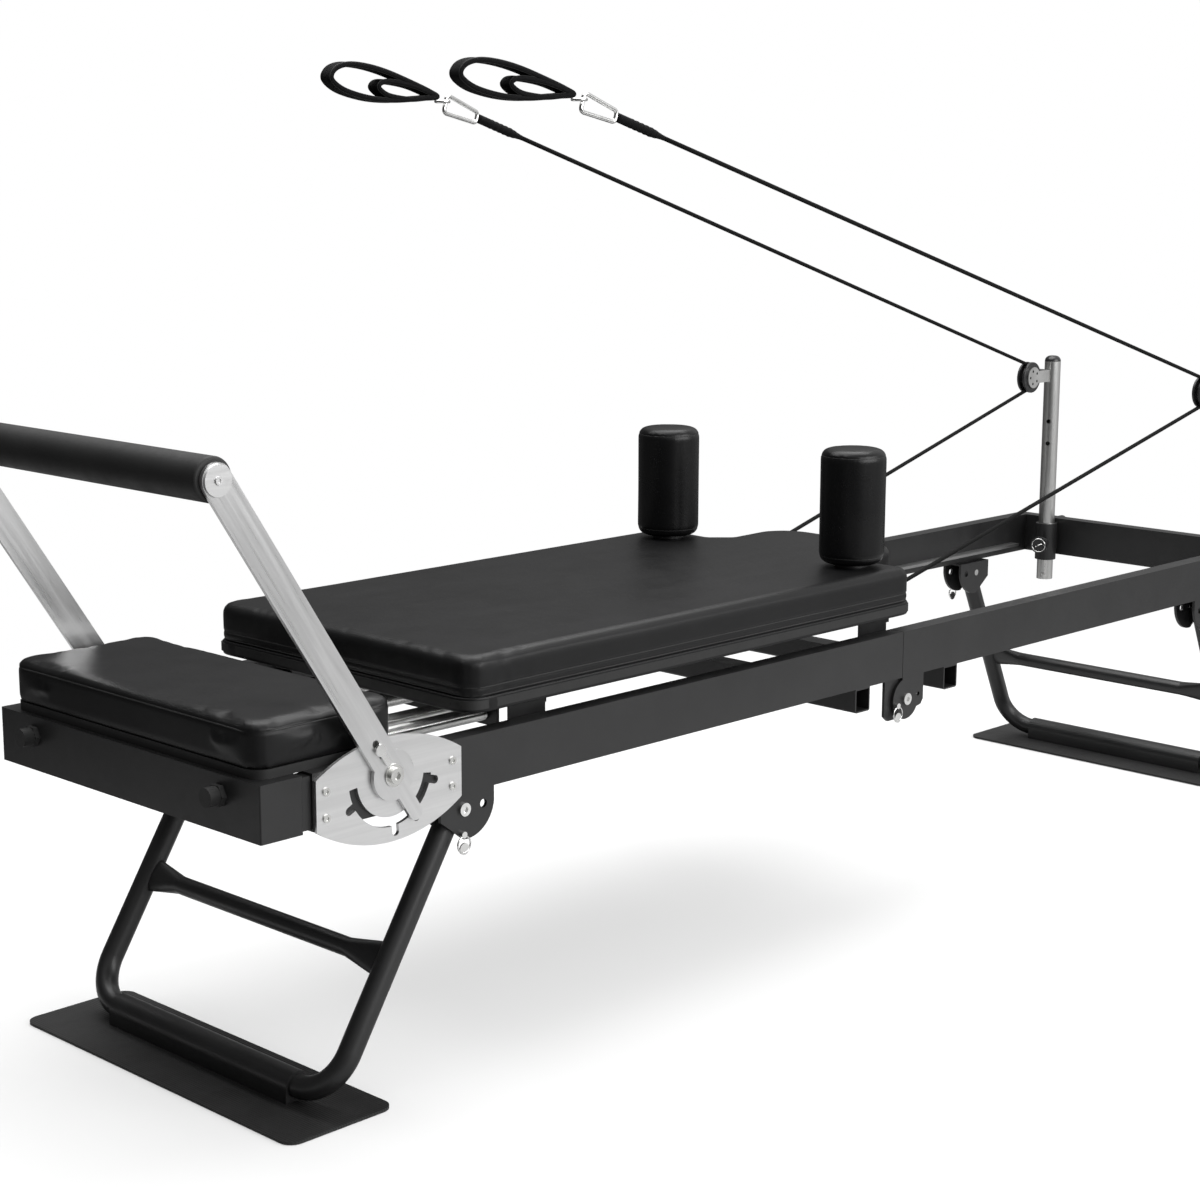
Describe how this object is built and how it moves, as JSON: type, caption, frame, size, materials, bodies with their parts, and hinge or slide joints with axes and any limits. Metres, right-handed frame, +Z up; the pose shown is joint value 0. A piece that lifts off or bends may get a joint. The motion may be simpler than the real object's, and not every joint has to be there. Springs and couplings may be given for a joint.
{
  "type": "pilates reformer",
  "caption": "Folding pilates reformer: a padded carriage rolls on a rail frame against springs, with a footbar, shoulder rests, pulley posts, ropes and straps.",
  "frame": {"origin": "centre of the object's footprint on the floor, at rest as it stands unfolded", "axes": "+X from the footbar end to the pulley end, +Y to the left of someone lying with the head at the pulley end, +Z up"},
  "size_m": [2.5435, 0.6066, 1.3266],
  "materials": {
    "black_coat": "satin black powder coat",
    "steel_plate": "fine brushed stainless",
    "zinc_steel": "plain plated fasteners",
    "bright_metal": "bright plated",
    "vinyl": "black synthetic leather, soft grain",
    "board": "black laminate board",
    "rubber": "matt moulded rubber",
    "foam": "matt black foam grip",
    "hard_plastic": "moulded black plastic",
    "wheel_plastic": "hard wheel plastic",
    "silver_post": "satin anodised",
    "rope": "braided black cord",
    "webbing": "woven black webbing with padded cover",
    "track": "plain extruded"
  },
  "bodies": {
    "front_frame": {"foot_box": "black_coat", "front_bumpers": "rubber", "stand_board": "board", "stand_pad": "vinyl", "front_rails": "black_coat", "front_tracks": "track", "front_beam": "black_coat", "selector_plates": "steel_plate", "selector_hardware": "zinc_steel", "spring_bar": "black_coat", "springs": "bright_metal", "front_leg_ears": "black_coat", "front_leg_hardware": "bright_metal", "front_hinge_plates": "black_coat", "hinge_bolts": "bright_metal"},
    "footbar": {"footbar_frame": "steel_plate", "footbar_grip": "foam", "footbar_caps": "steel_plate"},
    "footbar_latch": {"footbar_latches": "bright_metal"},
    "front_leg": {"front_leg_tube": "black_coat", "front_leg_brace": "black_coat"},
    "front_foot": {"front_foot_plate": "black_coat", "front_foot_sleeve": "black_coat"},
    "carriage": {"carriage_pad": "vinyl", "carriage_board": "board", "carriage_frame": "black_coat", "carriage_fittings": "hard_plastic", "shoulder_rests": "vinyl"},
    "front_wheel_pair": {"front_wheels": "wheel_plastic"},
    "rear_wheel_pair": {"rear_wheels": "wheel_plastic"},
    "rear_frame": {"rear_rails": "black_coat", "rear_tracks": "track", "rear_beam": "black_coat", "end_crossbar": "black_coat", "rear_bumpers": "rubber", "rear_hinge_plates": "black_coat", "hinge_pins": "bright_metal", "rear_leg_ears": "black_coat", "rear_leg_hardware": "bright_metal", "post_sleeves": "black_coat"},
    "rear_leg": {"rear_leg_tube": "black_coat", "rear_leg_brace": "black_coat"},
    "rear_foot": {"rear_foot_plate": "black_coat", "rear_foot_sleeve": "black_coat"},
    "post_left": {"post_left": "silver_post", "pulley_yoke_left": "bright_metal", "rope_lower_left": "rope", "rope_upper_left": "rope"},
    "pulley_left": {"pulley_wheel_left": "hard_plastic"},
    "height_knob_left": {"height_knob_left": "hard_plastic"},
    "strap_left": {"strap_webbing_left": "webbing", "strap_clip_left": "bright_metal"},
    "post_right": {"post_right": "silver_post", "pulley_yoke_right": "bright_metal", "rope_lower_right": "rope", "rope_upper_right": "rope"},
    "pulley_right": {"pulley_wheel_right": "hard_plastic"},
    "height_knob_right": {"height_knob_right": "hard_plastic"},
    "strap_right": {"strap_webbing_right": "webbing", "strap_clip_right": "bright_metal"}
  },
  "joints": [
    {"name": "frame_fold", "type": "hinge", "parent": "front_frame", "child": "rear_frame", "pos_m": [0.087, 0, 0.353], "axis": [0, 1, 0], "range_deg": [0, 175]},
    {"name": "front_leg_fold", "type": "hinge", "parent": "front_frame", "child": "front_leg", "pos_m": [-0.862, 0, 0.367], "axis": [0, 1, 0], "range_deg": [-121.8, 0]},
    {"name": "front_foot_swivel", "type": "hinge", "parent": "front_leg", "child": "front_foot", "pos_m": [-1.076, 0, 0.024], "axis": [0, 1, 0], "range_deg": [0, 121.8]},
    {"name": "rear_leg_fold", "type": "hinge", "parent": "rear_frame", "child": "rear_leg", "pos_m": [1.02, 0, 0.367], "axis": [0, 1, 0], "range_deg": [0, 115]},
    {"name": "rear_foot_swivel", "type": "hinge", "parent": "rear_leg", "child": "rear_foot", "pos_m": [1.182, 0, 0.024], "axis": [0, 1, 0], "range_deg": [-115, 0]},
    {"name": "footbar_tilt", "type": "hinge", "parent": "front_frame", "child": "footbar", "pos_m": [-0.99, 0, 0.44], "axis": [0, 1, 0], "range_deg": [-43, 96]},
    {"name": "footbar_latch_slide", "type": "slide", "parent": "footbar", "child": "footbar_latch", "axis": [-0.544, 0, 0.8391], "range_m": [0, 0.008], "stiffness_N_per_m": 400},
    {"name": "carriage_slide", "type": "slide", "parent": "front_frame", "child": "carriage", "axis": [1, 0, 0], "range_m": [0, 0.9], "stiffness_N_per_m": 150, "deforming": ["springs", "rope_lower_left", "rope_upper_left", "rope_lower_right", "rope_upper_right"]},
    {"name": "front_wheels_spin", "type": "hinge", "parent": "carriage", "child": "front_wheel_pair", "pos_m": [-0.7, 0, 0.4283], "axis": [0, 1, 0], "continuous": true},
    {"name": "rear_wheels_spin", "type": "hinge", "parent": "carriage", "child": "rear_wheel_pair", "pos_m": [0.06, 0, 0.4283], "axis": [0, 1, 0], "continuous": true},
    {"name": "post_left_height", "type": "slide", "parent": "rear_frame", "child": "post_left", "axis": [0, 0, 1], "range_m": [-0.25, 0]},
    {"name": "pulley_left_spin", "type": "hinge", "parent": "post_left", "child": "pulley_left", "pos_m": [1.114, 0.197, 0.758], "axis": [-0.0349, 0.9994, 0], "continuous": true},
    {"name": "height_knob_left_pull", "type": "slide", "parent": "rear_frame", "child": "height_knob_left", "axis": [-0.9439, -0.3304, 0], "range_m": [0, 0.008], "stiffness_N_per_m": 500},
    {"name": "strap_left_pull", "type": "slide", "parent": "post_left", "child": "strap_left", "axis": [-0.9562, -0.0334, 0.2908], "range_m": [0, 0.9]},
    {"name": "post_right_height", "type": "slide", "parent": "rear_frame", "child": "post_right", "axis": [0, 0, 1], "range_m": [-0.25, 0]},
    {"name": "pulley_right_spin", "type": "hinge", "parent": "post_right", "child": "pulley_right", "pos_m": [1.114, -0.197, 0.758], "axis": [0.0349, 0.9994, 0], "continuous": true},
    {"name": "height_knob_right_pull", "type": "slide", "parent": "rear_frame", "child": "height_knob_right", "axis": [-0.9439, 0.3304, 0], "range_m": [0, 0.008], "stiffness_N_per_m": 500},
    {"name": "strap_right_pull", "type": "slide", "parent": "post_right", "child": "strap_right", "axis": [-0.9562, 0.0334, 0.2908], "range_m": [0, 0.9]}
  ],
  "couplings": [
    {"joint": "front_leg_fold", "follows": "frame_fold", "ratio": -0.696},
    {"joint": "front_foot_swivel", "follows": "frame_fold", "ratio": 0.696},
    {"joint": "rear_leg_fold", "follows": "frame_fold", "ratio": 0.65714},
    {"joint": "rear_foot_swivel", "follows": "frame_fold", "ratio": -0.65714},
    {"joint": "strap_left_pull", "follows": "carriage_slide", "ratio": 1},
    {"joint": "strap_right_pull", "follows": "carriage_slide", "ratio": 1}
  ]
}
